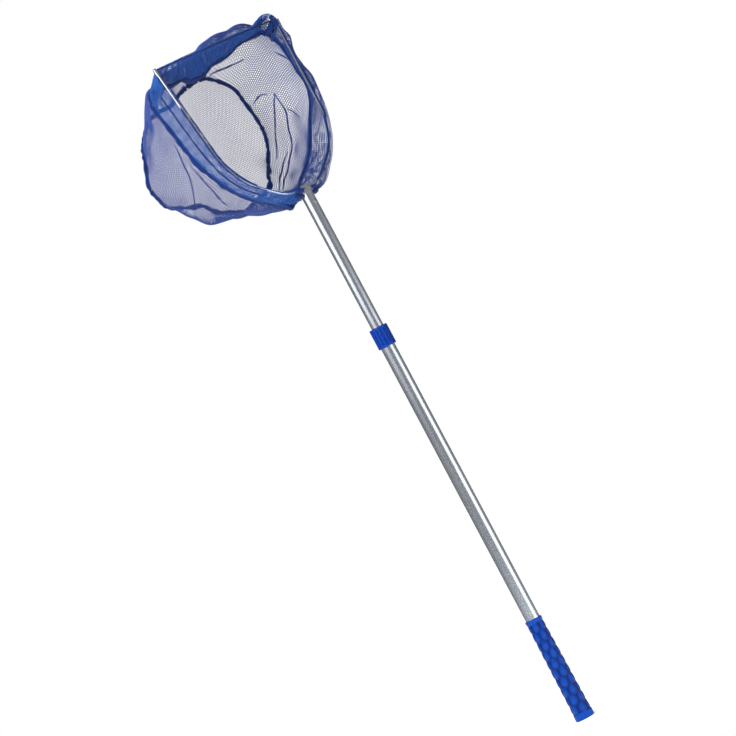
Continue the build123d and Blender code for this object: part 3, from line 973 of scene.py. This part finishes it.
def world():
    """White behind the object, and a dimmer even light on it, dark on the far side so that the tubes'
    edges show."""
    made = bpy.data.worlds.new("studio")
    made.use_nodes = True
    tree = made.node_tree
    tree.nodes.clear()
    seen = tree.nodes.new("ShaderNodeBackground")
    seen.inputs["Color"].default_value = (1, 1, 1, 1)
    lighting = tree.nodes.new("ShaderNodeBackground")
    lighting.inputs["Color"].default_value = (0.93, 0.96, 1.0, 1)
    way = tree.nodes.new("ShaderNodeTexCoord")
    facing = tree.nodes.new("ShaderNodeVectorMath")
    facing.operation = "DOT_PRODUCT"
    facing.inputs[1].default_value = VIEW_WAY
    dimmed = tree.nodes.new("ShaderNodeMapRange")
    dimmed.inputs["From Min"].default_value, dimmed.inputs["From Max"].default_value = FAR_SIDE
    dimmed.inputs["To Min"].default_value = EVEN_STRENGTH
    dimmed.inputs["To Max"].default_value = FAR_STRENGTH
    tree.links.new(way.outputs["Generated"], facing.inputs[0])
    tree.links.new(facing.outputs["Value"], dimmed.inputs["Value"])
    tree.links.new(dimmed.outputs["Result"], lighting.inputs["Strength"])
    path = tree.nodes.new("ShaderNodeLightPath")
    mix = tree.nodes.new("ShaderNodeMixShader")
    out = tree.nodes.new("ShaderNodeOutputWorld")
    tree.links.new(path.outputs["Is Camera Ray"], mix.inputs[0])
    tree.links.new(lighting.outputs[0], mix.inputs[1])
    tree.links.new(seen.outputs[0], mix.inputs[2])
    tree.links.new(mix.outputs[0], out.inputs["Surface"])
    bpy.context.scene.world = made


def floor():
    """A pale round floor under the butt."""
    paint = Paint("pale_floor")
    grain = paint.noise(6.0)
    paint.colour(grain, [(0.3, (0.93, 0.93, 0.93)), (0.7, (0.97, 0.97, 0.97))])
    paint.set(Roughness=0.7, Emission_Color=(1, 1, 1, 1), Emission_Strength=0.45)
    bpy.ops.mesh.primitive_circle_add(vertices=96, radius=1.1, fill_type="NGON", location=(0, 0, -0.0005))
    made = bpy.context.object
    made.name = "floor"
    made.data.materials.append(paint.material)


def camera():
    """A long lens, level with the object, and rolled so that the pole leans to the left."""
    data = bpy.data.cameras.new("camera")
    data.lens = data.sensor_width * VIEW_DISTANCE / VIEW_WIDTH
    data.clip_end = 40
    holder = bpy.data.objects.new("camera", data)
    right = VIEW_RIGHT * math.cos(VIEW_LEAN) - UP * math.sin(VIEW_LEAN)
    top = UP * math.cos(VIEW_LEAN) + VIEW_RIGHT * math.sin(VIEW_LEAN)
    turn = Matrix((right, top, -VIEW_WAY)).transposed().to_4x4()
    holder.matrix_world = Matrix.Translation(VIEW_CENTRE - VIEW_WAY * VIEW_DISTANCE) @ turn
    bpy.context.scene.collection.objects.link(holder)
    bpy.context.scene.camera = holder


def beside(right, towards, height):
    """A point given by its distances from the pole: to the camera's right, towards the camera, and up."""
    return VIEW_RIGHT * right - VIEW_WAY * towards + UP * height


world()
floor()
camera()
area_light("upper_left_strip", beside(-0.82, 0.78, 1.0), beside(0, 0, 1.0), (1.2, 0.6), 4.4)
area_light("lower_right_strip", beside(0.93, 0.6, 0.3), beside(0, 0, 0.3), (0.9, 0.74), 3.6)
area_light("overhead", beside(-0.2, 0.3, 2.3), beside(0, 0, 0.6), (1.4, 1.4), 26, reflected=False)
area_light("front_fill", beside(-0.7, 1.7, 1.2), beside(0, 0, 0.7), (1.0, 1.4), 44, reflected=False)
bpy.context.scene.view_settings.view_transform = "Standard"
bpy.context.scene.view_settings.look = "None"
